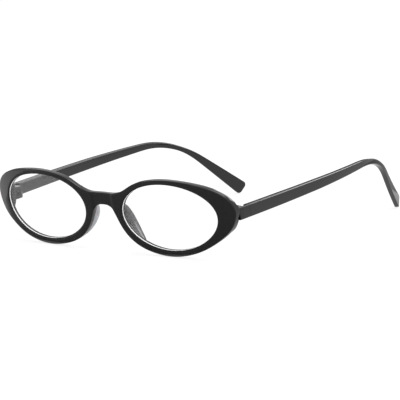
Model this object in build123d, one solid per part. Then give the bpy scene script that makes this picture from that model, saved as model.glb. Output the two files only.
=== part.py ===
from build123d import *
import os
from math import cos, hypot, pi, radians, sin

# Oval eyeglasses of thin moulded plastic, standing open on their rims and temple tips
# X runs across the face, Y from the front towards the tips, Z is up
# The pieces are drawn with level temples, then tipped on to the table in one move

# Lenses and the openings that hold them, seen from the front
lens_width = 49.6
lens_height = 29.2
bridge_gap = 21.4
egg_share = 0.009
lens_thickness = 1.4
lens_inset = 0.5
bevel_height = 0.6
bevel_land = 0.3
lens_clearance = 0.03

# Front: the rim's width at even stations from the temple side over the top, with its corner
front_depth = 2.3
front_tilt = 3.5
wrap_depth = 7.3
rim_width = 2.7
endpiece_width = 8.1
rim_shares = (
    1.00, 1.00, 1.00, 0.91, 0.76, 0.78, 0.93, 1.33, 1.41,
    1.28, 1.20, 1.17, 1.04, 1.00, 0.98, 1.09, 1.00, 1.00,
)
corner_shares = (
    1.07, 0.65, 0.21, 0.00, 0.00, 0.00, 0.00, 0.00, 0.00,
    0.00, 0.00, 0.00, 0.00, 0.00, 0.00, 0.00, 0.19, 0.61,
)

# Bridge, as heights above the middle of the lenses and half widths from its own middle
bridge_top = 8.65
bridge_knee_x = 7.6
bridge_knee_rise = 0.15
bridge_arch = 3.3
arch_shoulder_x = 3.6
arch_shoulder_drop = 0.65
arch_foot_x = 6.0
arch_foot_z = 0.2
saddle_depth = 0.45
saddle_half_width = 4.8
saddle_flank = 1.4

# Endpieces and hinges
endpiece_reach = 0.3
endpiece_depth = 7.0
endpiece_top = 5.0
endpiece_bottom = -5.0
endpiece_flare = 3.2
butt_gap = 0.1
hinge_inset = 4.5
hinge_setback = 3.6
hinge_middle = 1.2
hinge_height = 5.2
knuckle_radius = 2.2
knuckle_height = 1.8
knuckle_gap = 0.08
slot_relief = 0.35
screw_radius = 0.7
screw_head_radius = 1.2
screw_head_height = 0.65
screw_slot_width = 0.3
screw_slot_depth = 0.35
nut_across = 2.3
nut_height = 1.0
running_clearance = 0.05
seat_clearance = 0.02

# Temples
temple_proud = 0.1
temple_axis_z = 1.75
temple_straight = 89.0
bend_radius = 46.5
bend_angle = 42.6
tip_length = 26.9
tip_corner = 1.2
tip_steps = 4
temple_lean = 3.4
wall_at_hinge = 1.9
recess_length = 6.5
temple_height = 5.3
temple_thickness = 3.9
temple_arris = 0.35
temple_stations = 36
# Places along the temple, as shares of it, with how many degrees it turns in to the head
temple_turns = (
    (0.00, -2.0),
    (0.34, 1.4),
    (0.60, 9.4),
    (0.71, 19.9),
    (0.82, 28.0),
    (1.00, 22.2),
)
# Each cross-section's place along the temple, then its shares of the height and thickness
section_shares = (
    (0.000, 1.00, 1.00),
    (0.180, 0.95, 0.90),
    (0.360, 0.85, 0.78),
    (0.530, 0.66, 0.69),
    (0.640, 0.50, 0.63),
    (0.740, 0.40, 0.60),
    (0.825, 0.66, 0.54),
    (0.910, 0.93, 0.48),
    (1.000, 1.20, 0.44),
)

# Nose pads, from the bridge down the nasal side of the rim, as turns round the lens
pad_reach = 5.8
pad_base_width = 2.2
pad_edge_width = 1.1
pad_splay = 1.3
pad_sink = 0.6
pad_setback = 0.35
pad_start = 168
pad_end = 234
pad_stations = 7
pad_end_share = 0.02
pad_skew_share = 0.75
pad_swell_share = 0.6

# How far cuts run past what they cut
overrun = 4.0

lens_x = (bridge_gap + lens_width) / 2
front_half_width = bridge_gap / 2 + lens_width + endpiece_width
temple_outer_x = front_half_width + temple_proud
butt_y = wrap_depth + front_depth + endpiece_reach
temple_start_y = butt_y + butt_gap
hinge_x = front_half_width - hinge_inset
hinge_y = butt_y + hinge_setback
hinge_top = hinge_middle + hinge_height / 2
hinge_bottom = hinge_middle - hinge_height / 2
knuckle_top = hinge_middle + knuckle_height / 2
knuckle_bottom = hinge_middle - knuckle_height / 2
bend_length = bend_radius * radians(bend_angle)
temple_length = temple_straight + bend_length + tip_length


def block(low, high):
    # A box between two opposite corners
    size = [high[i] - low[i] for i in range(3)]
    return Location([(low[i] + high[i]) / 2 for i in range(3)]) * Box(*size)


def both(shape):
    return [shape, mirror(shape, about=Plane.YZ)]


def flat_face(edges):
    return Face(Wire(edges))


def curve_through(spots, y=0, closed=False):
    # A smooth edge in the front view, through points given as x and z
    return Spline(*[(x, y, z) for x, z in spots], periodic=closed)


def opening_point(turn):
    # A point on the lens opening, turning from the temple side up over the top
    egg = 1 + egg_share * sin(3 * turn)
    return (lens_x + lens_width / 2 * egg * cos(turn), lens_height / 2 * egg * sin(turn))


def offset_point(turn, outward):
    # The same point moved straight out from the opening
    x, z = opening_point(turn)
    swell = egg_share * 3 * cos(3 * turn)
    egg = 1 + egg_share * sin(3 * turn)
    dx = lens_width / 2 * (swell * cos(turn) - egg * sin(turn))
    dz = lens_height / 2 * (swell * sin(turn) + egg * cos(turn))
    length = hypot(dx, dz)
    return (x + dz / length * outward, z - dx / length * outward)


def opening_face(outward=0, count=12):
    spots = [offset_point(2 * pi * i / count, outward) for i in range(count)]
    return flat_face([curve_through(spots, closed=True)])


def rim_width_at(turn):
    # The rim's width between its stations, which stand half a step off the temple side
    count = len(rim_shares)
    place = turn / (2 * pi) * count - 0.5
    low = int(place // 1)
    part = place - low
    width = 0
    for i, weight in ((low % count, 1 - part), ((low + 1) % count, part)):
        corner = (endpiece_width - rim_width) * corner_shares[i]
        width += weight * (rim_width * rim_shares[i] + corner)
    return width


def rim_point(i):
    turn = 2 * pi * (i + 0.5) / len(rim_shares)
    return offset_point(turn, rim_width_at(turn))


def rim_face():
    spots = [rim_point(i) for i in range(len(rim_shares))]
    return flat_face([curve_through(spots, closed=True)])


def bridge_face():
    # The bridge runs flat along its top and arches over the nose
    top = [rim_point(7), (bridge_knee_x, bridge_top + bridge_knee_rise)]
    arch = [rim_point(9), (arch_foot_x, arch_foot_z)]
    arch.append((arch_shoulder_x, bridge_arch - arch_shoulder_drop))
    top = [(-x, z) for x, z in top] + [(0, bridge_top)] + top[::-1]
    arch = arch + [(0, bridge_arch)] + [(-x, z) for x, z in arch[::-1]]
    over, under = curve_through(top), curve_through(arch)
    return flat_face([over, Line(over @ 1, under @ 0), under, Line(under @ 1, over @ 0)])


def through(face):
    # A prism that runs along Y through the whole front
    reach = wrap_depth + front_depth + overrun * 3
    return extrude(face.moved(Location((0, -overrun, 0))), reach, dir=(0, 1, 0))


def slab(near, far, count=12):
    # The space between two surfaces that bend back, flat at the nose and steep at the ends
    half = front_half_width + overrun
    shares = [2 * i / count - 1 for i in range(count + 1)]
    bend = [(half * s, wrap_depth * (half * abs(s) / front_half_width) ** 4) for s in shares]
    front_edge = Spline(*[(x, y + near, -lens_height) for x, y in bend])
    back_edge = Spline(*[(x, y + far, -lens_height) for x, y in reversed(bend)])
    sides = [Line(front_edge @ 1, back_edge @ 0), Line(back_edge @ 1, front_edge @ 0)]
    face = flat_face([front_edge, sides[0], back_edge, sides[1]])
    return extrude(face, lens_height * 2, dir=(0, 0, 1))


def lens_solid(extra=0):
    # The lens with its pointed edge, or with extra the groove that holds it
    far = lens_inset + lens_thickness + extra
    blank = through(opening_face(bevel_height + extra)) & slab(lens_inset - extra, far)
    return chamfer(blank.edges(), (lens_thickness - bevel_land) / 2)


def saddle_cut():
    # The shallow trough across the front of the bridge
    low, high = saddle_half_width, saddle_half_width + saddle_flank
    trough = Polygon((-high, 0), (-low, saddle_depth), (low, saddle_depth), (high, 0),
                     (high, -overrun), (-high, -overrun), align=None)
    return extrude(trough.moved(Location((0, 0, -lens_height))), lens_height * 2, dir=(0, 0, 1))


def endpiece():
    # The thick corner behind the rim, which runs out into the rim's underside
    # It is left long here and trimmed where the temple butts
    end = butt_y + overrun
    low = endpiece_bottom - endpiece_flare
    side = Polygon((0, low), (butt_y - endpiece_flare, low), (butt_y, endpiece_bottom),
                   (end, endpiece_bottom), (end, endpiece_top), (0, endpiece_top), align=None)
    side = Plane.YZ.offset(front_half_width - endpiece_depth) * side
    return slab(front_depth / 2, front_depth * 3) & extrude(side, endpiece_depth + overrun)


def front_tilted(shape):
    # The front leans forward at its top, about a line across the middle of the bridge
    return shape.moved(Location((0, 0, 0), (front_tilt, 0, 0)))


def front_shell():
    # Rims, bridge and endpieces, drawn upright
    rims = both(through(rim_face()))
    outline = rims[0] + rims[1] + through(bridge_face())
    body = slab(0, front_depth)
    for corner in both(endpiece()):
        body = body + corner
    body = (body & outline) - saddle_cut()
    window = through(opening_face()) + lens_solid(lens_clearance)
    for cut in both(window):
        body = body - cut
    return body


def hinge_rod(radius, low, high):
    # An upright cylinder on the hinge's own line
    return Location((hinge_x, hinge_y, (low + high) / 2)) * Cylinder(radius, high - low)


def hinge_hexagon(across, low, high):
    face = RegularPolygon(across / 2, 6, major_radius=False)
    return extrude(face.moved(Location((hinge_x, hinge_y, low))), high - low, dir=(0, 0, 1))


def front_knuckles():
    # Two knuckles on one web, with a slot between them for the temple's knuckle
    web = block((hinge_x - knuckle_radius, butt_y - front_depth / 2, hinge_bottom),
                (hinge_x + knuckle_radius, hinge_y, hinge_top))
    slot_start = hinge_y - knuckle_radius - slot_relief
    slot = block((hinge_x - overrun, slot_start, knuckle_bottom - knuckle_gap),
                 (hinge_x + overrun, hinge_y + overrun, knuckle_top + knuckle_gap))
    return web + hinge_rod(knuckle_radius, hinge_bottom, hinge_top) - slot


def hinge_seats():
    # What the screw and its nut need taken out of the front's knuckles
    bore = hinge_rod(screw_radius + seat_clearance, hinge_bottom - overrun, hinge_top + overrun)
    head_floor = hinge_top - screw_head_height - seat_clearance
    head = hinge_rod(screw_head_radius + seat_clearance, head_floor, hinge_top + overrun)
    nut_roof = hinge_bottom + nut_height + seat_clearance
    nut = hinge_hexagon(nut_across + seat_clearance * 2, hinge_bottom - overrun, nut_roof)
    return bore + head + nut


def hinge_screw():
    shank = hinge_rod(screw_radius, hinge_bottom, hinge_top - screw_head_height / 2)
    head = hinge_rod(screw_head_radius, hinge_top - screw_head_height, hinge_top)
    half = screw_slot_width / 2
    slot = block((hinge_x - half, hinge_y - overrun, hinge_top - screw_slot_depth),
                 (hinge_x + half, hinge_y + overrun, hinge_top + overrun))
    return shank + head - slot


def hinge_nut():
    bore = hinge_rod(screw_radius + seat_clearance, hinge_bottom - overrun, hinge_top)
    return hinge_hexagon(nut_across, hinge_bottom, hinge_bottom + nut_height) - bore


def front_frame(shell):
    # The tilted front, trimmed square to the temples, with its hinge knuckles
    half = front_half_width + overrun
    trim = block((-half, butt_y, -lens_height), (half, butt_y + lens_height, lens_height))
    body = front_tilted(shell) - trim
    for knuckles in both(front_knuckles()):
        body = body + knuckles
    for seats in both(hinge_seats()):
        body = body - seats
    return body


def between(rows, share):
    # The listed values at this share, on a straight line from one row to the next
    for low, high in zip(rows, rows[1:]):
        if share <= high[0]:
            break
    part = (share - low[0]) / (high[0] - low[0])
    return [a + (b - a) * part for a, b in zip(low[1:], high[1:])]


def temple_direction(share):
    # The way the temple runs here, from its drop behind the ear and its turn to the head
    turned = max(share * temple_length - temple_straight, 0) / bend_length
    drop = radians(bend_angle) * min(turned, 1)
    turn = radians(between(temple_turns, share)[0])
    return Vector(-cos(drop) * sin(turn), cos(drop) * cos(turn), -sin(drop))


def temple_section(here, share, cut=0):
    # A rectangle with its arrises taken off, square to the temple's run and leaning in
    height_share, thickness_share = between(section_shares, share)
    tangent = temple_direction(share)
    level = tangent.cross(Vector(0, 0, 1)).normalized()
    lean = radians(temple_lean)
    outward = level * cos(lean) + level.cross(tangent) * sin(lean)
    thick = temple_thickness * thickness_share / 2
    tall = temple_height * height_share / 2 - cut
    corner = [(thick, tall - temple_arris), (thick - temple_arris, tall)]
    quarter = corner + [(-x, z) for x, z in corner[::-1]]
    spots = quarter + [(-x, -z) for x, z in quarter]
    plane = Plane(origin=here - outward * thick, x_dir=outward, z_dir=tangent)
    return plane * Polygon(*spots, align=None)


def temple_bar():
    # The bar from the hinge to its rounded tip, walked along the middle of its outer face
    end = 1 - tip_corner / temple_length
    here = Vector(temple_outer_x, temple_start_y, temple_axis_z)
    sections = [temple_section(here, 0)]
    for i in range(1, temple_stations):
        share, before = end * i / (temple_stations - 1), end * (i - 1) / (temple_stations - 1)
        here += temple_direction((share + before) / 2) * (share - before) * temple_length
        sections.append(temple_section(here, share))
    for i in range(1, tip_steps + 1):
        turn = pi / 2 * i / tip_steps
        tip = here + temple_direction(1) * tip_corner * sin(turn)
        sections.append(temple_section(tip, 1, tip_corner * (1 - cos(turn))))
    return loft(sections, ruled=True)


def temple():
    bar = temple_bar()
    wall_x = temple_outer_x - wall_at_hinge
    recess = block((wall_x - endpiece_depth, temple_start_y - overrun, -lens_height),
                   (wall_x, temple_start_y + recess_length, lens_height))
    arm = block((hinge_x, hinge_y - knuckle_radius, knuckle_bottom),
                (wall_x + wall_at_hinge / 2, hinge_y + knuckle_radius, knuckle_top))
    knuckle = hinge_rod(knuckle_radius, knuckle_bottom, knuckle_top)
    bore = hinge_rod(screw_radius + running_clearance, hinge_bottom, hinge_top)
    return bar - recess + arm + knuckle - bore


def pad_section(share):
    # One slice of the fin, square to the rim and running back from it
    turn = radians(pad_start + (pad_end - pad_start) * share)
    fullness = sin(pi * share ** pad_skew_share) ** pad_swell_share
    outer = rim_width_at(turn) - pad_setback
    base = front_depth - pad_sink
    tip = front_depth + pad_reach * fullness
    crown = tip - pad_edge_width / 3
    edge = outer - pad_splay * fullness
    profile = [
        (outer, base), (edge, crown), (edge - pad_edge_width / 3, tip),
        (edge - pad_edge_width * 2 / 3, tip), (edge - pad_edge_width, crown),
        (outer - pad_base_width, base),
    ]
    spots = []
    for outward, y in profile:
        x, z = offset_point(turn, outward)
        spots.append(Vector(x, y, z))
    return flat_face([Line(spots[i - 1], spots[i]) for i in range(len(spots))])


def nose_pad(shell):
    ends = pad_end_share
    shares = [ends + (1 - ends * 2) * i / (pad_stations - 1) for i in range(pad_stations)]
    return loft([pad_section(share) for share in shares]) - shell


def tipped(pitch):
    return Location((0, 0, 0), (pitch, 0, 0))


def standing(front, arm):
    # The move that sets the rims and the temple tips on the table together
    pitch = 0
    for i in range(4):
        low_front = front.moved(tipped(pitch)).bounding_box()
        low_arm = arm.moved(tipped(pitch)).bounding_box()
        span = low_arm.max.Y - low_front.min.Y
        pitch += (low_front.min.Z - low_arm.min.Z) / span * 180 / pi
    whole = Compound([front, arm]).moved(tipped(pitch)).bounding_box()
    middle = (whole.min.Y + whole.max.Y) / 2
    return Location((0, -middle, -whole.min.Z)) * tipped(pitch)


def main():
    shell = front_shell()
    frame = front_frame(shell)
    arm = temple()
    pairs = {
        "lens": front_tilted(lens_solid()),
        "nose_pad": front_tilted(nose_pad(shell)),
        "hinge_screw": hinge_screw(),
        "hinge_nut": hinge_nut(),
        "temple": arm,
    }
    pieces = {"front_frame": frame}
    for name, piece in pairs.items():
        for side, shape in zip(("right", "left"), both(piece)):
            pieces[f"{name}_{side}"] = shape
    stand = standing(frame, arm)
    os.makedirs("parts", exist_ok=True)
    for name, piece in pieces.items():
        export_step(piece.moved(stand), f"parts/{name}.step")
    hinge = stand * Location((hinge_x, hinge_y, hinge_middle))
    print("right hinge at", hinge.position, "tipped by", stand.orientation)


main()
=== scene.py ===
import bmesh
import bpy
import numpy as np
from mathutils import Matrix, Vector
from mathutils.geometry import delaunay_2d_cdt


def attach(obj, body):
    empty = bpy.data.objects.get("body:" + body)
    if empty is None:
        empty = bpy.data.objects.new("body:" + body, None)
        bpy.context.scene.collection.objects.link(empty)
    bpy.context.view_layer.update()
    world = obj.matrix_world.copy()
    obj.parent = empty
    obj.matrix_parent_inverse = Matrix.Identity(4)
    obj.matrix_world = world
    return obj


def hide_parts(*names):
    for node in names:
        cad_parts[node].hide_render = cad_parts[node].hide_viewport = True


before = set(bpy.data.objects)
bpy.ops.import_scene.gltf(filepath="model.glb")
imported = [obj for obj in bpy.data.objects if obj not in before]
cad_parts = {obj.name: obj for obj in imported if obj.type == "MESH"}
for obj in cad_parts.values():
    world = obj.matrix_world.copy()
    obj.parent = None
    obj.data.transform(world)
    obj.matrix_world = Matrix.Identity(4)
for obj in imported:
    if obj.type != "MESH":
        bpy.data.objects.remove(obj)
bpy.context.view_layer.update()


# Front: both rims, bridge and endpieces in one piece, bowed across the face and leaning back.
# It is injection moulded in black nylon, and tumbling rounds its arrises and gives the gloss.
# It stands on both rims. Sizes are in millimetres and angles in degrees, up to the table.
MM = 0.001
SIDES = (("right", False), ("left", True))
FRONT_TILT = 3.5
STAND_PITCH = 5.32131
STAND_SHIFT = (0, -73.66883, 17.14987)
FRONT_DEPTH = 2.3
HALF_FRONT = 68.4
BOW = 7.3
SADDLE_WIDTHS, SADDLE_DEPTHS = (4.6, 4.9, 6.1, 6.4), (0.45, 0.4, 0.04, 0)
EYE = 35.5
HALF_LENS_WIDTH, HALF_LENS_HEIGHT = 24.8, 14.6
LENS_EGG = 0.009
RIM_STATIONS = 18
RIM_WIDTHS = (
    8.48, 6.21, 3.83, 2.46, 2.05, 2.11, 2.51, 3.59, 3.81,
    3.46, 3.24, 3.16, 2.81, 2.7, 2.65, 2.94, 3.9, 6.35,
)
BRIDGE_TOP = ((7.6, 8.8), (0, 8.65), (-7.6, 8.8))
BRIDGE_ARCH = ((-6.0, 0.2), (-3.6, 2.65), (0, 3.3), (3.6, 2.65), (6.0, 0.2))
OUTLINE_STEP = 0.55
OPENING_STEPS = 230
FACE_ROUND, BACK_ROUND, GROOVE_ROUND = (0.3, 0.7, 7), (0.1, 0.1, 3), (0.14, 0.14, 3)
LENS_SEAT = (
    (0.9, 0), (0.8, 0.01), (0.66, 0.045), (0.42, 0.115), (0.18, 0.19), (0.05, 0.25), (0, 0.34),
)
LENS_GROOVE = ((0, 0.47), (0.08, 0.47), (0.63, 1.02), (0.63, 1.38), (0.08, 1.93), (0, 1.93))
NET_STEP, BRIDGE_NET_STEP, NET_GAP = 0.85, 0.5, 0.3
NET_ACROSS, NET_UP, BRIDGE_NET_UP = 68, 18, 9
BRIDGE_NET = (0, 1.2, 2.4, 3.6, 4.6, 4.9, 5.5, 6.1, 6.4, 7)
BRIDGE_NET_EDGE = 7.5
ENDPIECE_WALL = (
    (65, 5), (62.4, 5), (61.6, 4.7), (61.4, 4), (61.4, 2.6), (61.4, 1.2), (61.4, -0.2),
    (61.45, -1.4), (61.7, -2.6), (62.1, -3.7), (62.6, -4.7), (63.1, -5.5), (63.4, -5.9),
)
ENDPIECE_ENDS = (5.0, -6.3)
ENDPIECE_START, ENDPIECE_NET_GAP = 60, 0.5
BUTT, BUTT_FLARE = 9.9, 14.9
FLAT_MARGIN = 0.06
WELD = 0.002
SHARP, CREASE = 40, 38


def colour(text):
    """Linear values of an sRGB hex colour: a straight part near black, a power of 2.4 above it."""
    tone = np.array([int(text[i:i + 2], 16) for i in (1, 3, 5)]) / 255
    linear = np.where(tone <= 0.04045, tone / 12.92, ((tone + 0.055) / 1.055) ** 2.4)
    return [*linear.tolist(), 1]


def blank(name):
    """A new material and its empty tree."""
    finish = bpy.data.materials.new(name)
    finish.use_nodes = True
    finish.node_tree.nodes.clear()
    return finish, finish.node_tree


def add(tree, kind, sockets, give=0, **settings):
    """Adds one node with its settings, and gives back one of its outputs. A socket gets a value
    or another node's output. In a mix of colours, sockets 6 and 7 and output 2 are the colours."""
    node = tree.nodes.new("ShaderNode" + kind)
    for name, value in settings.items():
        setattr(node, name, value)
    for socket, value in sockets.items():
        if isinstance(value, bpy.types.NodeSocket):
            tree.links.new(value, node.inputs[socket])
        else:
            node.inputs[socket].default_value = value
    return node.outputs[give] if node.outputs else node


# Nylon, moulded and tumbled: near black, with a clear reflection that wavers where the thick
# and thin places cooled unevenly, 6 mm apart, and a faint haze of polishing, about 1 mm across.
# Nylon's IOR is 1.53, matched here to 1.5.
black_nylon, tree = blank("tumbled_black_nylon")
spot = add(tree, "TexCoord", {}, "Object")
sink = add(tree, "TexNoise", {"Vector": spot, "Scale": 1 / (6.25 * MM), "Detail": 3})
haze = add(tree, "TexNoise", {"Vector": spot, "Scale": 1 / (1.11 * MM), "Detail": 3})
waver = add(tree, "Bump", {"Height": sink, "Distance": 0.02 * MM, "Strength": 0.3})
gloss = add(tree, "MapRange", {
    "Value": haze, "From Min": 0.3, "From Max": 0.7, "To Min": 0.08, "To Max": 0.13,
})
share = add(tree, "MapRange", {"Value": haze, "From Min": 0.35, "From Max": 0.65})
tones = {0: share, 6: colour("#09090b"), 7: colour("#0d0d0f")}
black = add(tree, "Mix", tones, 2, data_type="RGBA")
skin = add(tree, "BsdfPrincipled", {
    "Base Color": black, "Roughness": gloss, "IOR": 1.5, "Normal": waver,
})
add(tree, "OutputMaterial", {"Surface": skin})


def around_lens(turn, outward):
    """Points outside a lens opening. The opening is an ellipse times one plus a small share of
    the sine of three turns, and each point lies outward from it, square to its run. Turn 0 is
    at the temple's side and a quarter turn is the top."""
    swell, change = 1 + LENS_EGG * np.sin(3 * turn), 3 * LENS_EGG * np.cos(3 * turn)
    along = HALF_LENS_WIDTH * swell * np.cos(turn)
    over = HALF_LENS_HEIGHT * swell * np.sin(turn)
    run_along = HALF_LENS_WIDTH * (change * np.cos(turn) - swell * np.sin(turn))
    run_over = HALF_LENS_HEIGHT * (change * np.sin(turn) + swell * np.cos(turn))
    square = np.stack([run_over, -run_along], -1) / np.hypot(run_along, run_over)[..., None]
    return np.stack([EYE + along, over], -1) + square * np.asarray(outward)[..., None]


def rim_width(turn):
    """The rim's width beside the opening, in straight steps between its stations."""
    stations = np.arange(-1, RIM_STATIONS + 1)
    widths = RIM_WIDTHS[-1:] + RIM_WIDTHS + RIM_WIDTHS[:1]
    return np.interp(turn / (2 * np.pi) * RIM_STATIONS - 0.5, stations, widths)


def smooth(knots, step):
    """A closed cubic spline through the knots. Its bends come from the equations that make the
    curvature even across each knot, and each span is cut into parts about one step long."""
    p = np.array(knots, float)
    here = np.arange(len(p))
    ahead = np.roll(p, -1, 0)
    long = np.linalg.norm(ahead - p, axis=1)
    back = np.roll(long, 1)
    even = np.zeros((len(p), len(p)))
    even[here, here - 1] = back
    even[here, here] = 2 * (back + long)
    even[here, (here + 1) % len(p)] = long
    slope = (ahead - p) / long[:, None]
    bend = np.linalg.solve(even, 6 * (slope - np.roll(slope, 1, 0)))
    parts = np.maximum(2, np.round(long / step)).astype(int)
    span = np.repeat(here, parts)
    t = ((np.arange(len(span)) - np.repeat(np.cumsum(parts) - parts, parts)) / parts[span])[:, None]
    curve = ((1 - t) ** 3 - 1 + t) * bend[span] + (t ** 3 - t) * np.roll(bend, -1, 0)[span]
    return (1 - t) * p[span] + t * ahead[span] + curve * long[span][:, None] ** 2 / 6


def front_depth(x, deep):
    """How far back a point of the front lies: the bow, a fourth power of x, plus its depth in
    the moulding, plus the bridge's saddle, which fades to nothing at the back."""
    saddle = np.interp(abs(x), SADDLE_WIDTHS, SADDLE_DEPTHS)
    return BOW * (abs(x) / HALF_FRONT) ** 4 + deep + saddle * (1 - deep / FRONT_DEPTH)


def on_front(flat, deep):
    """Points seen flat from the front, put at their depth on the bowed moulding."""
    return np.stack([flat[..., 0], front_depth(flat[..., 0], deep), flat[..., 1]], -1)


def round_edge(fall, run, steps):
    """A quarter ellipse in the steps: it runs in from the edge, and falls at the edge."""
    turn = np.arange(steps + 1) * np.pi / 2 / steps
    quarter = np.stack([run * (1 - np.sin(turn)), fall * (1 - np.cos(turn))], -1)
    return np.concatenate([[(run + FLAT_MARGIN, 0)], quarter])


def from_back(profile):
    """An edge's profile turned round, to be measured from the back."""
    return (profile * (1, -1) + (0, FRONT_DEPTH))[::-1]


def inside(spots, loops):
    """Which spots lie inside an odd number of loops, by the loops' sides that a level line to
    the right of the spot crosses."""
    crossed = np.zeros(len(spots), int)
    x, z = spots[:, :1], spots[:, 1:]
    for loop in loops:
        start, stop = loop, np.roll(loop, -1, 0)
        rise = np.where(stop[:, 1] == start[:, 1], 1, stop[:, 1] - start[:, 1])
        meets = start[:, 0] + (z - start[:, 1]) / rise * (stop[:, 0] - start[:, 0])
        crossed += (((start[:, 1] > z) != (stop[:, 1] > z)) & (x < meets)).sum(1)
    return crossed % 2 == 1


def apart(spots, border):
    """The distance from each spot to the nearest border point."""
    return np.hypot(spots[:, None, 0] - border[:, 0], spots[:, None, 1] - border[:, 1]).min(1)


def bands(rows):
    """Quads of a grid of point numbers whose rows are closed rings: each joins two neighbours
    in a row to the same two in the next."""
    beside = np.roll(rows, -1, 1)
    return np.stack([rows[:-1], beside[:-1], beside[1:], rows[1:]], -1).reshape(-1, 4)


def filled(flat, rings, spots=(), chains=()):
    """Triangles of a flat between closed rings of point numbers: a Delaunay net through rings,
    spots and chains, kept where it lies inside an odd number of the rings."""
    use = np.concatenate([*rings, spots]).astype(int)
    place = np.zeros(len(flat), int)
    place[use] = np.arange(len(use))
    sides = [np.stack([ring, np.roll(ring, -1)], -1) for ring in rings]
    sides += [np.stack([chain[:-1], chain[1:]], -1) for chain in chains]
    net = delaunay_2d_cdt(flat[use].tolist(), place[np.concatenate(sides)].tolist(), [], 0, 1e-5)
    corners, net_use = np.array(net[2]), use[[sources[0] for sources in net[3]]]
    middles = np.array(net[0])[corners].mean(1)
    return net_use[corners[inside(middles, [flat[ring] for ring in rings])]]


def settle(name, points, faces, tilt, finishes, body, replaced=(), left=False,
           kinds=None, weld=0, arris=0, crease=CREASE):
    """Puts a piece in the scene. Its points, in mm on the right half, are mirrored for the left,
    turned about X by the tilt and the stand's pitch, and moved onto the table. Points closer
    than the weld are joined, sharp edges get a rounded arris of that size, and edges that turn by
    less than the crease are shaded smooth. Kinds says which finish each face has."""
    pitch = np.radians(tilt + STAND_PITCH)
    turn = np.array([
        (1, 0, 0), (0, np.cos(pitch), -np.sin(pitch)), (0, np.sin(pitch), np.cos(pitch)),
    ])
    placed = points * ((-1, 1, 1) if left else (1, 1, 1)) @ turn.T + STAND_SHIFT
    mesh = bpy.data.meshes.new(name)
    mesh.from_pydata(placed.tolist(), [], [face for block in faces for face in block.tolist()])
    if kinds is not None:
        mesh.polygons.foreach_set("material_index", kinds)
    work = bmesh.new()
    work.from_mesh(mesh)
    if weld:
        bmesh.ops.remove_doubles(work, verts=work.verts, dist=weld)
    bmesh.ops.delete(work, geom=[v for v in work.verts if not v.link_faces], context="VERTS")
    bmesh.ops.recalc_face_normals(work, faces=work.faces)
    if arris:
        sharp = [edge for edge in work.edges if edge.calc_face_angle(0) > np.radians(SHARP)]
        bmesh.ops.bevel(
            work, geom=sharp, offset=arris, segments=2, profile=0.5, affect="EDGES",
            clamp_overlap=True)
    work.to_mesh(mesh)
    work.free()
    mesh.transform(Matrix.Scale(MM, 4))
    mesh.polygons.foreach_set("use_smooth", [True] * len(mesh.polygons))
    mesh.set_sharp_from_angle(angle=np.radians(crease))
    for finish in finishes:
        mesh.materials.append(finish)
    piece = bpy.data.objects.new(name, mesh)
    bpy.context.scene.collection.objects.link(piece)
    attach(piece, body)
    if replaced:
        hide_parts(*replaced)


# The outline runs round both rims, over the bridge and back under its arch
stations = (np.arange(RIM_STATIONS) + 0.5) * 2 * np.pi / RIM_STATIONS
rim = around_lens(stations, RIM_WIDTHS)[np.arange(9, 26) % RIM_STATIONS]
knots = np.concatenate([rim, BRIDGE_TOP, (rim * (-1, 1))[::-1], BRIDGE_ARCH])
outline = smooth(knots, OUTLINE_STEP)
run = np.roll(outline, -1, 0) - np.roll(outline, 1, 0)
inward = np.stack([-run[:, 1], run[:, 0]], -1) / np.linalg.norm(run, axis=1)[:, None]

# Each wall is a profile of distances and depths, carried round the outline or an opening
butt_round = round_edge(*BACK_ROUND)
edge = np.concatenate([round_edge(*FACE_ROUND), [(0, FRONT_DEPTH / 2)], from_back(butt_round)])
seat = np.concatenate([LENS_SEAT, LENS_GROOVE, from_back(round_edge(*GROOVE_ROUND))])
openings = np.arange(OPENING_STEPS) * 2 * np.pi / OPENING_STEPS
outer_wall = outline + inward * edge[:, 0, None, None]
right_wall = around_lens(openings, seat[:, :1])
left_wall = (right_wall * (-1, 1))[:, ::-1]
borders = [outer_wall[0], right_wall[0], left_wall[0]]

# A net of points across the flats, closer over the bridge, where the saddle is
across = np.arange(-NET_ACROSS, NET_ACROSS + 0.1, NET_STEP)
up = np.arange(-NET_UP, NET_UP + 0.1, NET_STEP)
wide = np.stack(np.meshgrid(across, up), -1).reshape(-1, 2)
across = np.unique([BRIDGE_NET, np.negative(BRIDGE_NET)])
up = np.arange(-BRIDGE_NET_UP, BRIDGE_NET_UP + 0.1, BRIDGE_NET_STEP)
close = np.stack(np.meshgrid(across, up), -1).reshape(-1, 2)
net = np.concatenate([wide[abs(wide[:, 0]) > BRIDGE_NET_EDGE], close])
net = net[inside(net, borders)]
net = net[apart(net, np.concatenate(borders)) > NET_GAP]

# The inner walls of the endpieces are drawn on the back, and points near them left out there
tracks = [np.array(ENDPIECE_WALL) * (side, 1) for side in (1, -1)]
back_net = net[apart(net, np.concatenate(tracks)) > ENDPIECE_NET_GAP]
parts = [outer_wall, right_wall, left_wall, net, *tracks, back_net]
depths = [edge[:, 1:], seat[:, 1:], seat[:, 1:], 0, FRONT_DEPTH, FRONT_DEPTH, FRONT_DEPTH]
flat = np.concatenate([part.reshape(-1, 2) for part in parts])
points = np.concatenate([on_front(part, deep).reshape(-1, 3) for part, deep in zip(parts, depths)])
ends = np.cumsum([part[..., 0].size for part in parts])
runs = np.split(np.arange(len(flat)), ends)
numbers = [run.reshape(part.shape[:-1]) for run, part in zip(runs, parts)]
outer_rows, right_rows, left_rows, face_spots, right_track, left_track, back_spots = numbers

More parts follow.
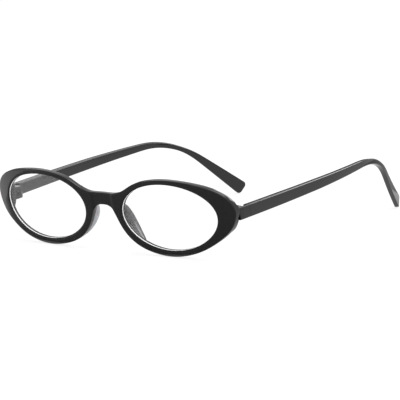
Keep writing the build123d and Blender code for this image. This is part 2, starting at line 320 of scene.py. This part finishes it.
# Within those walls the back is drawn out to the butt faces that the temples close on. Its run
# of the outline goes the short way round, from the wall's top end to its foot.
last = outer_wall[-1]
chains, regions = [], []
on_arc = np.zeros(len(last), bool)
for side, track in ((1, right_track), (-1, left_track)):
    top, foot = [
        int(np.argmin(abs(last[:, 1] - level) + 9 * (last[:, 0] * side < ENDPIECE_START)))
        for level in ENDPIECE_ENDS
    ]
    way = 1 if (foot - top) % len(last) < len(last) / 2 else -1
    arc = (top + way * np.arange(way * (foot - top) % len(last) + 1)) % len(last)
    chains.append(np.concatenate([outer_rows[-1, [top]], track, outer_rows[-1, [foot]]]))
    regions.append(np.concatenate([flat[chains[-1]], last[arc[::-1][1:-1]]]))
    on_arc[arc] = True

# Both flats are filled. What is drawn out gets new points, and walls between old and new along
# the edge of the drawn part, which is where a side belongs to one of its faces only.
face = filled(flat, [outer_rows[0], right_rows[0], left_rows[0]], face_spots)
back = filled(
    flat, [outer_rows[-1], right_rows[-1], left_rows[-1]],
    np.concatenate([back_spots, right_track, left_track]), chains,
)
drawn = inside(flat[back].mean(1), regions)
band = bands(outer_rows).reshape(len(edge) - 1, -1, 4)
drawn_band = np.zeros(band.shape[:2], bool)
drawn_band[len(edge) - len(butt_round):] = on_arc & np.roll(on_arc, -1)
sides = np.concatenate([
    np.stack([block, np.roll(block, -1, 1)], -1).reshape(-1, 2)
    for block in (back[drawn], band[drawn_band])
])
_, first, count = np.unique(np.sort(sides, 1), axis=0, return_index=True, return_counts=True)
border = sides[first[count == 1]]
used = np.unique(sides)
moved = np.arange(len(points))
moved[used] = len(points) + np.arange(len(used))
x, z = points[used, 0], points[used, 2]
tilt = np.radians(FRONT_TILT)
butt = np.minimum((BUTT + z * np.sin(tilt)) / np.cos(tilt), z + BUTT_FLARE)
reach = np.maximum(butt - front_depth(x, FRONT_DEPTH), 0)
points = np.concatenate([points, points[used] + reach[:, None] * (0, 1, 0)])
settle(
    "front_moulding", points, [
        face, back[~drawn], moved[back[drawn]], band[~drawn_band], moved[band[drawn_band]],
        np.column_stack([border, moved[border[:, ::-1]]]), bands(right_rows), bands(left_rows),
    ],
    FRONT_TILT, [black_nylon], "front", ["front_frame"], weld=WELD)


# Lenses: plain lenses of cast resin, clear and thin, bowed with the front.
# Their edge is ground to a bevel, which snaps into the groove of the rim.
# The ground edge is left white, and a thin ring of it shows through the seat as a thin bright line:
# partly the ground edge's own white, partly a painted highlight of its glint.
LENS_STEPS = 180
LENS_FIT, LENS_FACE, LENS_BACK = 0.05, 0.5, 1.9
LENS_BEVEL = ((0.6, 1.05), (0.6, 1.35))
LENS_SHARES = np.linspace(0.04, 1, 14)
# The thin ring at the lens edge, in the ground resin: a painted highlight of the edge's glint, as
# well as the ground edge's white.
GROUND_AND_GLINT_RING = np.array([(-0.05, 0.54), (-0.05, 0.98), (-0.01, 0.98), (-0.01, 0.54)])

# Lens resin, cast and coated: colourless, with sharp faint reflections. Its IOR is 1.56,
# matched here to 1.55. It is nearly all see-through; the small share that is not is near white,
# a painted reflection veil over all behind it. Its haze is 3.3 mm across.
lens_resin, tree = blank("coated_lens_resin")
spot = add(tree, "TexCoord", {}, "Object")
haze = add(tree, "TexNoise", {"Vector": spot, "Scale": 1 / (3.33 * MM), "Detail": 3})
gloss = add(tree, "MapRange", {
    "Value": haze, "From Min": 0.3, "From Max": 0.7, "To Min": 0.02, "To Max": 0.05,
})
share = add(tree, "MapRange", {"Value": haze, "From Min": 0.35, "From Max": 0.65})
tones = {0: share, 6: colour("#f6f7f8"), 7: colour("#fbfbfc")}
veil_painted_white = add(tree, "Mix", tones, 2, data_type="RGBA")
# An alpha of 0.045 over a near-white tone: a painted reflection veil, not a tint of the resin.
skin = add(tree, "BsdfPrincipled", {
    "Base Color": veil_painted_white, "Roughness": gloss, "IOR": 1.55, "Alpha": 0.045,
})
add(tree, "OutputMaterial", {"Surface": skin})

# The same resin, ground: white and dull, from the grit's scratches of 0.33 mm. On the thin ring at
# the lens edge this white is also a painted highlight of the edge's glint.
ground_and_glint_resin, tree = blank("ground_lens_edge_and_glint")
spot = add(tree, "TexCoord", {}, "Object")
grit = add(tree, "TexNoise", {"Vector": spot, "Scale": 1 / (0.333 * MM), "Detail": 3})
dull = add(tree, "MapRange", {
    "Value": grit, "From Min": 0.3, "From Max": 0.7, "To Min": 0.25, "To Max": 0.4,
})
share = add(tree, "MapRange", {"Value": grit, "From Min": 0.35, "From Max": 0.65})
tones = {0: share, 6: colour("#f2f3f5"), 7: colour("#ffffff")}
white = add(tree, "Mix", tones, 2, data_type="RGBA")
skin = add(tree, "BsdfPrincipled", {"Base Color": white, "Roughness": dull, "IOR": 1.5})
add(tree, "OutputMaterial", {"Surface": skin})

# Both faces are the opening's curve drawn in to a small share of itself, with the bevel between
lens_turns = np.arange(LENS_STEPS) * 2 * np.pi / LENS_STEPS
eye = np.array((EYE, 0))
lens_face = eye + (around_lens(lens_turns, LENS_FIT) - eye) * LENS_SHARES[:, None, None]
bevel = np.array(LENS_BEVEL)
shape = np.concatenate([lens_face, around_lens(lens_turns, bevel[:, :1]), lens_face[::-1]])
deep = np.repeat((LENS_FACE, *bevel[:, 1], LENS_BACK), (len(LENS_SHARES), 1, 1, len(LENS_SHARES)))
points = np.concatenate([
    on_front(shape, deep[:, None]),
    on_front(around_lens(lens_turns, GROUND_AND_GLINT_RING[:, :1]), GROUND_AND_GLINT_RING[:, 1:]),
])
rows = np.arange(points[..., 0].size).reshape(-1, LENS_STEPS)
lens_rows, line_rows = rows[:len(shape)], rows[len(shape):]
line = bands(np.concatenate([line_rows, line_rows[:1]]))
faces = [bands(lens_rows), lens_rows[:1], lens_rows[-1:], line]
kinds = np.repeat((0, 1), (sum(len(block) for block in faces[:3]), len(line)))
for side, left in SIDES:
    settle(
        f"lens_clear_{side}", points.reshape(-1, 3), faces, FRONT_TILT, [lens_resin, ground_and_glint_resin],
        "front", [f"lens_{side}"], left, kinds)


# Nose pads: a fin along the nasal side of each rim, which rests on the side of the nose.
# They are moulded in grey nylon and welded to the back of the rim.
# The side to the nose is satin, and the side to the lens is smoother and darker; its darkness is
# painted shade.
PAD_START, PAD_SWEEP = 168, 66
PAD_SHARES = np.linspace(0.015, 0.985, 40)
PAD_POINTS = 28
PAD_REACH, PAD_SINK, PAD_SETBACK = 5.8, 0.6, 0.35
PAD_SPLAY, PAD_BASE, PAD_EDGE = 1.3, 2.2, 1.1
PAD_CREST_START, PAD_CREST_END, PAD_CREST_RISE = 0.37, 0.73, 0.37
PAD_STEP, PAD_CREASE = 0.3, 60
PAD_SKEW, PAD_SWELL = 0.75, 0.6


def moulded_grey_nylon(name, dark, pale, gloss):
    """Grey nylon, moulded: softly lit from within for 1 mm, with clouds of 2 mm and the grain of
    a spark-eroded mould, drawn as coarse as 0.38 mm so that it shows at all."""
    finish, tree = blank(name)
    spot = add(tree, "TexCoord", {}, "Object")
    grain = add(tree, "TexNoise", {"Vector": spot, "Scale": 1 / (0.385 * MM), "Detail": 5})
    cloud = add(tree, "TexNoise", {"Vector": spot, "Scale": 1 / (2 * MM), "Detail": 3})
    share = add(tree, "MapRange", {"Value": cloud, "From Min": 0.35, "From Max": 0.65})
    tones = {0: share, 6: colour(dark), 7: colour(pale)}
    rough = add(tree, "MapRange", {
        "Value": grain, "From Min": 0.3, "From Max": 0.7, "To Min": gloss, "To Max": gloss + 0.15,
    })
    skin = add(tree, "BsdfPrincipled", {
        "Base Color": add(tree, "Mix", tones, 2, data_type="RGBA"),
        "Roughness": rough, "IOR": 1.5, "Subsurface Weight": 0.25, "Subsurface Scale": 1 * MM,
        "Normal": add(tree, "Bump", {"Height": grain, "Distance": 0.05 * MM, "Strength": 0.5}),
    })
    add(tree, "OutputMaterial", {"Surface": skin})
    return finish


satin_nylon = moulded_grey_nylon("satin_grey_nylon", "#94949a", "#a4a4a9", 0.4)
# The lens side: the same grey nylon made near black, a painted shade of that side.
shaded_side_nylon = moulded_grey_nylon("grey_nylon_painted_shade", "#1c1c1f", "#2a2a2d", 0.2)


def pad_ring(share):
    """One section of the pad: a smooth loop from its foot on the rim to its crest and back, whose
    reach swells as a power of the sine along the pad, cut into even parts and stood on the rim."""
    turn = np.radians(PAD_START + PAD_SWEEP * share)
    full = np.sin(np.pi * share ** PAD_SKEW) ** PAD_SWELL
    outer, tip = rim_width(turn) - PAD_SETBACK, FRONT_DEPTH + PAD_REACH * full
    foot, brow = FRONT_DEPTH - PAD_SINK, outer - PAD_SPLAY * full
    loop = smooth([
        (outer, foot), (brow, tip - PAD_CREST_RISE), (brow - PAD_CREST_START, tip),
        (brow - PAD_CREST_END, tip), (brow - PAD_EDGE, tip - PAD_CREST_RISE),
        (outer - PAD_BASE, foot),
    ], PAD_STEP)
    loop = np.concatenate([loop, loop[:1]])
    run = np.concatenate([[0], np.cumsum(np.hypot(*np.diff(loop, axis=0).T))])
    even = np.linspace(0, run[-1], PAD_POINTS, endpoint=False)
    flat = around_lens(np.full(PAD_POINTS, turn), np.interp(even, run, loop[:, 0]))
    return np.column_stack([flat[:, 0], np.interp(even, run, loop[:, 1]), flat[:, 1]])


points = np.array([pad_ring(share) for share in PAD_SHARES])
rows = np.arange(points[..., 0].size).reshape(-1, PAD_POINTS)
# Faces past the crest, on the lens side, get the painted-shade nylon.
kinds = np.zeros((len(rows) - 1, PAD_POINTS), int)
kinds[:, np.argmax(points[len(rows) // 2, :, 1]):] = 1
for side, left in SIDES:
    settle(
        f"pad_{side}", points.reshape(-1, 3), [bands(rows), rows[:1], rows[-1:]], FRONT_TILT,
        [satin_nylon, shaded_side_nylon], "front", [f"nose_pad_{side}"], left,
        np.append(kinds, (0, 0)), crease=PAD_CREASE)


# Hinge knuckles of the front: a web on the endpiece carries four plates in two pairs.
# They are moulded with the front, in its nylon, and bored for the screw.
# The upper pair takes the screw's head, and the lower pair the nut in a hexagonal pocket.
PIN_X, PIN_Y = 63.9, 13.5
KNUCKLE = 2.2
WEB_START, WEB_END = 8.8, 10.95
WEB_FOOT, WEB_TOP = -1.4, 3.8
BORE, HEAD_BORE, NUT_POCKET = 0.72, 1.22, 1.352
KNUCKLE_PLATES = (
    ("top", HEAD_BORE, 3.13, WEB_TOP), ("upper", BORE, 2.18, 3.13),
    ("lower", BORE, -0.38, 0.22), ("foot", NUT_POCKET, WEB_FOOT, -0.38),
)
HOLE_STEPS, ROUND_STEPS, HOLE_END = 24, 17, 345
WEB_ARRIS, PLATE_ARRIS = 0.1, 0.04


def arc(centre, radius, start, stop, steps):
    """Points on a circle about a centre, from one angle in degrees to another."""
    turn = np.radians(np.linspace(start, stop, steps))
    return np.stack([centre[0] + radius * np.cos(turn), centre[1] + radius * np.sin(turn)], -1)


def plate(name, outline, hole, low, high, body, left, arris):
    """A flat plate: its outline and its hole at two heights, filled and joined by walls."""
    loops = [outline] if hole is None else [outline, hole]
    flat = np.concatenate(loops * 2)
    cuts = np.cumsum([len(loop) for loop in loops * 2])[:-1]
    rings = np.split(np.arange(len(flat)), cuts)
    lower, upper = rings[:len(loops)], rings[len(loops):]
    walls = [bands(np.stack(pair)) for pair in zip(lower, upper)]
    settle(
        name, np.column_stack([flat, np.repeat((low, high), len(flat) // 2)]),
        [filled(flat, lower), filled(flat, upper), *walls], 0, [black_nylon], body,
        left=left, arris=arris)


def hole_round(pin, radius):
    """A bore about the pin, or the six corners of the nut's pocket."""
    if radius == NUT_POCKET:
        return arc(pin, radius, 30, 330, 6)
    return arc(pin, radius, 0, HOLE_END, HOLE_STEPS)


pin = (PIN_X, PIN_Y)
web = np.array([
    (PIN_X - KNUCKLE, WEB_START), (PIN_X + KNUCKLE, WEB_START),
    (PIN_X + KNUCKLE, WEB_END), (PIN_X - KNUCKLE, WEB_END),
])
tongue = np.concatenate([web[[3, 2]], arc(pin, KNUCKLE, 0, 180, ROUND_STEPS)])
for side, left in SIDES:
    plate(f"hinge_web_{side}", web, None, WEB_FOOT, WEB_TOP, "front", left, WEB_ARRIS)
    for place, radius, low, high in KNUCKLE_PLATES:
        hole = hole_round(pin, radius)
        plate(f"knuckle_{place}_{side}", tongue, hole, low, high, "front", left, PLATE_ARRIS)


# Hinge nuts: small hexagonal nuts, stamped and threaded from plain steel.
# Each is pressed up into the pocket under the lower knuckle, which keeps it from turning.
# They are the solids themselves, and get only their finish here.
def bright_steel(name, dark, gloss):
    """Plain steel: grey metal with tool marks, drawn as coarse as 0.29 mm to show at all."""
    finish, tree = blank(name)
    spot = add(tree, "TexCoord", {}, "Object")
    marks = add(tree, "TexNoise", {"Vector": spot, "Scale": 1 / (0.286 * MM), "Detail": 4})
    share = add(tree, "MapRange", {"Value": marks, "From Min": 0.35, "From Max": 0.65})
    tones = {0: share, 6: colour(dark), 7: colour("#e2e2e3")}
    rough = add(tree, "MapRange", {
        "Value": marks, "From Min": 0.3, "From Max": 0.7, "To Min": gloss, "To Max": gloss + 0.15,
    })
    skin = add(tree, "BsdfPrincipled", {
        "Base Color": add(tree, "Mix", tones, 2, data_type="RGBA"),
        "Metallic": 1, "Roughness": rough,
        "Normal": add(tree, "Bump", {"Height": marks, "Distance": 0.01 * MM, "Strength": 0.4}),
    })
    add(tree, "OutputMaterial", {"Surface": skin})
    return finish


def dress(node, finish):
    """Gives a solid its finish in place of the plain one."""
    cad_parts[node].data.materials.clear()
    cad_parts[node].data.materials.append(finish)


stamped_steel = bright_steel("stamped_nut_steel", "#b4b4b6", 0.3)
for side, left in SIDES:
    dress(f"hinge_nut_{side}", stamped_steel)


# Temples: the arms, each one flat bar that thins to the bend at the ear and widens to its tip.
# They are moulded in the front's nylon. The front end is thinner, and closes on the endpiece.
# One knuckle stands on the inner side, between the front's two pairs, and turns on the screw.
TEMPLE_START = (68.5, 10.0, 1.75)
STRAIGHT, BEND_RADIUS, BEND_ANGLE = 89, 46.5, 42.6
TIP_LENGTH, TIP_ROUND, TIP_SHRINK, TIP_STEPS = 26.9, 1.7, 0.3, 8
CURVE_SHARES = (0, 0.34, 0.60, 0.71, 0.82, 1)
CURVE_ANGLES = (-2.0, 1.4, 9.4, 19.9, 28.0, 22.2)
BAR_SHARES = (0, 0.18, 0.36, 0.53, 0.64, 0.74, 0.825, 0.91, 1)
BAR_HEIGHTS = (5.3, 5.035, 4.505, 3.498, 2.65, 2.12, 3.498, 4.929, 6.36)
BAR_DEPTHS = (3.9, 3.51, 3.042, 2.691, 2.457, 2.34, 2.18, 2.05, 2.0)
BAR_LEAN, BAR_ROUND = 3.4, 0.42
LAP_DEPTH, LAP_END = 1.9, 6.5
LAP_STATIONS = ((0, 0.12), (0, 0.06), (0.2, 0), (3, 0), (6.3, 0), (LAP_END, 0))
SHOULDER_STATIONS = ((LAP_END, 0.2), (6.7, 0))
BAR_START, BAR_STATIONS = 8, 130
LINE_STEPS, EASE = 1500, 71
TEMPLE_BORE, TEMPLE_SIDE = 0.75, 67.5
TEMPLE_PLATE = (0.3, 2.1)

bend_run = BEND_RADIUS * np.radians(BEND_ANGLE)
length = STRAIGHT + bend_run + TIP_LENGTH
along = np.linspace(0, length, LINE_STEPS)


def eased(values):
    """The mean over near neighbours, which turns corners into curves about 7 mm long."""
    return np.convolve(np.pad(values, EASE // 2, mode="edge"), np.ones(EASE) / EASE, "valid")


# The middle line: its direction turns inwards by the curve's angles and drops round the bend,
# and each place is the sum of the steps before it
height = eased(np.interp(along / length, BAR_SHARES, BAR_HEIGHTS))
depth = eased(np.interp(along / length, BAR_SHARES, BAR_DEPTHS))
turn = eased(np.radians(np.interp(along / length, CURVE_SHARES, CURVE_ANGLES)))
drop = eased(np.radians(BEND_ANGLE) * np.clip((along - STRAIGHT) / bend_run, 0, 1))
way = np.stack([-np.cos(drop) * np.sin(turn), np.cos(drop) * np.cos(turn), -np.sin(drop)], -1)
steps = (way[1:] + way[:-1]) / 2 * (along[1] - along[0])
middle = np.concatenate([[TEMPLE_START], TEMPLE_START + np.cumsum(steps, 0)])

# The stations: the lap beside the knuckle, its shoulder, the long bar, and the tip as a quarter
# circle. Each has its place along the line and how far its corners' rounding shrinks.
quarter = np.linspace(0, np.pi / 2, TIP_STEPS + 1)[1:]
lap, shoulder = np.array(LAP_STATIONS), np.array(SHOULDER_STATIONS)
bar = np.linspace(BAR_START, length - TIP_ROUND, BAR_STATIONS)
tip = length - TIP_ROUND * (1 - np.sin(quarter))
at = np.concatenate([lap[:, 0], shoulder[:, 0], bar, tip])
shrink = np.concatenate([lap[:, 1], shoulder[:, 1], 0 * bar, TIP_SHRINK * (1 - np.cos(quarter))])
cut = np.concatenate([np.zeros(len(at) - len(tip)), TIP_ROUND * (1 - np.cos(quarter))])

# Each section is a rectangle with rounded corners, leaning a little, its outer side on the line
here, run = [
    np.stack([np.interp(at, along, path[:, k]) for k in range(3)], -1) for path in (middle, way)
]
level = np.cross(run, (0, 0, 1))
level /= np.linalg.norm(level, axis=1)[:, None]
lean = np.radians(BAR_LEAN)
out = level * np.cos(lean) + np.cross(level, run) * np.sin(lean)
up = np.cross(out, run)
deep = np.interp(at, along, depth)
deep[:len(lap)] = LAP_DEPTH
half = (np.interp(at, along, height) / 2 - cut)[:, None]
deep, corner = deep[:, None], (BAR_ROUND - shrink)[:, None]
angle = np.radians(np.linspace((0, 90, 180, 270), (90, 180, 270, 360), 6).T.ravel())
across = np.repeat((1, -1, -1, 1), 6) * (deep / 2 - BAR_ROUND) + corner * np.cos(angle) - deep / 2
over = np.repeat((1, 1, -1, -1), 6) * (half - BAR_ROUND) + corner * np.sin(angle)
points = here[:, None] + out[:, None] * across[..., None] + up[:, None] * over[..., None]
rows = np.arange(points[..., 0].size).reshape(len(at), -1)
knuckle = np.concatenate([
    arc(pin, KNUCKLE, 90, 270, ROUND_STEPS),
    [(TEMPLE_SIDE, PIN_Y - KNUCKLE), (TEMPLE_SIDE, PIN_Y + KNUCKLE)],
])
for side, left in SIDES:
    settle(
        f"temple_bar_{side}", points.reshape(-1, 3), [bands(rows), rows[:1], rows[-1:]], 0,
        [black_nylon], f"temple_{side}", [f"temple_{side}"], left)
    plate(
        f"temple_knuckle_{side}", knuckle, hole_round(pin, TEMPLE_BORE), *TEMPLE_PLATE,
        f"temple_{side}", left, WEB_ARRIS)


# Hinge screws: slotted, with a countersunk head, turned from plain steel.
# Each goes down through all the knuckles into the nut, and is the pin that the temple turns on.
# They are the solids themselves, and get only their finish here.
turned_steel = bright_steel("turned_screw_steel", "#c4c4c6", 0.22)
for side, left in SIDES:
    dress(f"hinge_screw_{side}", turned_steel)


# Table: a wide white sheet with no edge in sight, lit by the lamps as matt paper is.
# The camera, metal and glass see it nearly as bright as white itself,
# and the part of it that is lit keeps the object's shadow. Sizes are in metres from here on.
TABLE_HALF = 6
TABLE_GLOW = 0.8
corners = [(-TABLE_HALF, -TABLE_HALF, 0), (TABLE_HALF, -TABLE_HALF, 0)]
corners += [(TABLE_HALF, TABLE_HALF, 0), (-TABLE_HALF, TABLE_HALF, 0)]


def stand_in_studio(name, corners, finish):
    """A flat sheet through four corners in metres, as a piece of the studio."""
    mesh = bpy.data.meshes.new(name)
    mesh.from_pydata(corners, [], [(0, 1, 2, 3)])
    mesh.materials.append(finish)
    sheet = bpy.data.objects.new(name, mesh)
    bpy.context.scene.collection.objects.link(sheet)
    return sheet


white_paper, tree = blank("matt_white_paper")
camera_ray, through_ray, gloss_ray = [
    add(tree, "LightPath", {}, f"Is {kind} Ray") for kind in ("Camera", "Transmission", "Glossy")
]
seen = add(tree, "Math", {0: camera_ray, 1: through_ray}, operation="MAXIMUM")
seen = add(tree, "Math", {0: seen, 1: TABLE_GLOW}, operation="MULTIPLY")
seen = add(tree, "Math", {0: seen, 1: gloss_ray}, operation="MAXIMUM")
matt = add(tree, "BsdfDiffuse", {"Color": colour("#fafafa")})
glow = add(tree, "Emission", {})
add(tree, "OutputMaterial", {"Surface": add(tree, "MixShader", {0: seen, 1: matt, 2: glow})})
stand_in_studio("floor", corners, white_paper)


# Light: a white surround on all sides, a large softbox overhead and a strip behind.
# The surround is a white tent, seen as plain white and lighting a little less than that.
# Both lamps hang on stands out of the picture and point at the middle of the table.
TENT_LIGHT = 0.85
LAMPS = (
    ("softbox", 1.2, 1.2, 9, (0.1, 0.1, 1.3)),
    ("strip", 1.0, 0.35, 7, (0.1, 1.0, 0.9)),
)
tent = bpy.data.worlds.new("studio")
bpy.context.scene.world = tent
tent.use_nodes = True
tree = tent.node_tree
tree.nodes.clear()
camera_ray, through_ray, gloss_ray = [
    add(tree, "LightPath", {}, f"Is {kind} Ray") for kind in ("Camera", "Transmission", "Glossy")
]
seen = add(tree, "Math", {0: camera_ray, 1: through_ray}, operation="MAXIMUM")
seen = add(tree, "Math", {0: seen, 1: gloss_ray}, operation="MAXIMUM")
strength = add(tree, "MapRange", {"Value": seen, "To Min": TENT_LIGHT, "To Max": 1})
white = add(tree, "Background", {"Color": (1, 1, 1, 1), "Strength": strength})
add(tree, "OutputWorld", {"Surface": white})
for name, breadth, depth, power, place in LAMPS:
    lamp = bpy.data.lights.new(name, "AREA")
    lamp.shape, lamp.size, lamp.size_y, lamp.energy = "RECTANGLE", breadth, depth, power
    hung = bpy.data.objects.new(name, lamp)
    hung.location = place
    hung.rotation_euler = (-hung.location).to_track_quat("-Z", "Y").to_euler()
    bpy.context.scene.collection.objects.link(hung)


# Cards: sheets of grey card that give black gloss its dark flats, as in any product studio.
# Two stand at the left, before and behind the object, and two lie flat on the table.
# Only reflections show them: the camera, the matt light and the shadows pass them by.
CARD_FOOT, CARD_TOP, CARD_HALF, CARD_LIFT = 0.01, 0.22, 0.45, 0.0003
STANDING_CARDS = (("card_behind", -0.42, 0.49, 41), ("card_before", -0.45, -0.42, -47))
LYING_CARDS = (
    ("card_flat_before", -0.125, 0.125, -0.5, -0.072, "#949494"),
    ("card_flat_behind", -0.6, 0.125, 0.13, 0.8, "#868686"),
)


def grey_card(name, corners, tone, sheen):
    """A card through four corners, in one grey, matt or with the faint sheen of its paper."""
    card, tree = blank(name)
    skin = add(tree, "BsdfPrincipled", {
        "Base Color": colour(tone), "Roughness": 1, "Specular IOR Level": sheen,
    })
    add(tree, "OutputMaterial", {"Surface": skin})
    sheet = stand_in_studio(name, corners, card)
    sheet.visible_camera = sheet.visible_diffuse = sheet.visible_shadow = False


for name, x, y, turn in STANDING_CARDS:
    run = CARD_HALF * np.array((np.cos(np.radians(turn)), np.sin(np.radians(turn))))
    near, far = (x, y) - run, (x, y) + run
    grey_card(name, [
        (*near, CARD_FOOT), (*far, CARD_FOOT), (*far, CARD_TOP), (*near, CARD_TOP),
    ], "#5a5a5c", 0.5)
for name, left, right, near, far, tone in LYING_CARDS:
    grey_card(name, [
        (left, near, CARD_LIFT), (right, near, CARD_LIFT),
        (right, far, CARD_LIFT), (left, far, CARD_LIFT),
    ], tone, 0)


# Camera: a long lens from a little above the table, before and to the right of the front.
# The angles and the place were solved from the rims and temples of the photograph.
CAMERA_TURN, CAMERA_RISE, CAMERA_ROLL = np.radians((40.894, 9.212, -2.593))
CAMERA_PLACE = (0.89343, -1.04166, 0.23408)
SENSOR, LENS_FOCUS = 36, 279.425
across = np.array((np.cos(CAMERA_TURN), np.sin(CAMERA_TURN), 0))
back = np.array((
    np.sin(CAMERA_TURN) * np.cos(CAMERA_RISE), -np.cos(CAMERA_TURN) * np.cos(CAMERA_RISE),
    np.sin(CAMERA_RISE),
))
right = across * np.cos(CAMERA_ROLL) + np.cross(back, across) * np.sin(CAMERA_ROLL)
pose = Matrix(np.stack([right, np.cross(back, right), back], 1).tolist()).to_4x4()
pose.translation = Vector(CAMERA_PLACE)
camera = bpy.data.objects.new("camera", bpy.data.cameras.new("camera"))
camera.data.sensor_width, camera.data.lens = SENSOR, LENS_FOCUS
camera.data.clip_start, camera.data.clip_end = 0.05, 30
camera.matrix_world = pose
bpy.context.scene.collection.objects.link(camera)
bpy.context.scene.camera = camera
bpy.context.scene.view_settings.view_transform = "Standard"

bpy.context.view_layer.update()
